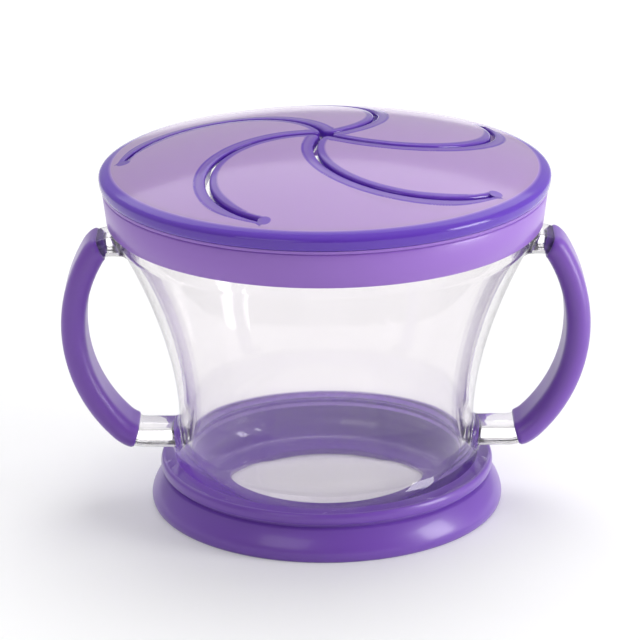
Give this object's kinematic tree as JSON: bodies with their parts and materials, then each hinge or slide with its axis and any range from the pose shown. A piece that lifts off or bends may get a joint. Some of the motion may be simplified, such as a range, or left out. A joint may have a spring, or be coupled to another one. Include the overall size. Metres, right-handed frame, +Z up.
{
  "type": "toddler snack container",
  "caption": "Clear waisted cup with two gripped handles, a soft non-slip foot and a lift-off lid whose soft domed top is slit into curved flaps for a small hand.",
  "frame": {"origin": "on the table under the middle of the cup", "axes": "+Z up; +X towards the handle on the right as seen in the picture; +Y away from the viewer"},
  "size_m": [0.116, 0.098, 0.084],
  "materials": {
    "clear_plastic": "clear and glossy, faintly blue in the thickness",
    "soft_grip": "satin purple soft plastic",
    "soft_base": "satin purple soft plastic",
    "lid_plastic": "semi-gloss lavender purple",
    "soft_top": "glossy, slightly translucent lavender soft plastic"
  },
  "bodies": {
    "cup": {"cup": "clear_plastic", "cup_foot": "clear_plastic", "cup_floor": "clear_plastic", "handle_left": "clear_plastic", "handle_right": "clear_plastic", "grip_left": "soft_grip", "grip_right": "soft_grip", "base_ring": "soft_base"},
    "lid": {"lid_ring": "lid_plastic", "lid_membrane": "soft_top"},
    "flap_1": {"flap_1": "soft_top"},
    "flap_2": {"flap_2": "soft_top"},
    "flap_3": {"flap_3": "soft_top"},
    "flap_4": {"flap_4": "soft_top"},
    "flap_5": {"flap_5": "soft_top"}
  },
  "joints": [
    {"name": "lid_lift", "type": "slide", "parent": "cup", "child": "lid", "axis": [0, 0, 1], "range_m": [0, 0.04]},
    {"name": "flap_1_bend", "type": "hinge", "parent": "lid", "child": "flap_1", "pos_m": [0.03034, -0.01417, 0.07958], "axis": [0.4441, -0.8797, -0.1703], "range_deg": [-30, 50], "stiffness_Nm_per_rad": 0.02},
    {"name": "flap_2_bend", "type": "hinge", "parent": "lid", "child": "flap_2", "pos_m": [0.02285, 0.02448, 0.07958], "axis": [0.9738, 0.1505, -0.1703], "range_deg": [-30, 50], "stiffness_Nm_per_rad": 0.02},
    {"name": "flap_3_bend", "type": "hinge", "parent": "lid", "child": "flap_3", "pos_m": [-0.01622, 0.0293, 0.07958], "axis": [0.1578, 0.9727, -0.1703], "range_deg": [-30, 50], "stiffness_Nm_per_rad": 0.02},
    {"name": "flap_4_bend", "type": "hinge", "parent": "lid", "child": "flap_4", "pos_m": [-0.03287, -0.00637, 0.07958], "axis": [-0.8763, 0.4506, -0.1703], "range_deg": [-30, 50], "stiffness_Nm_per_rad": 0.02},
    {"name": "flap_5_bend", "type": "hinge", "parent": "lid", "child": "flap_5", "pos_m": [-0.0041, -0.03323, 0.07958], "axis": [-0.6994, -0.6942, -0.1703], "range_deg": [-30, 50], "stiffness_Nm_per_rad": 0.02}
  ]
}
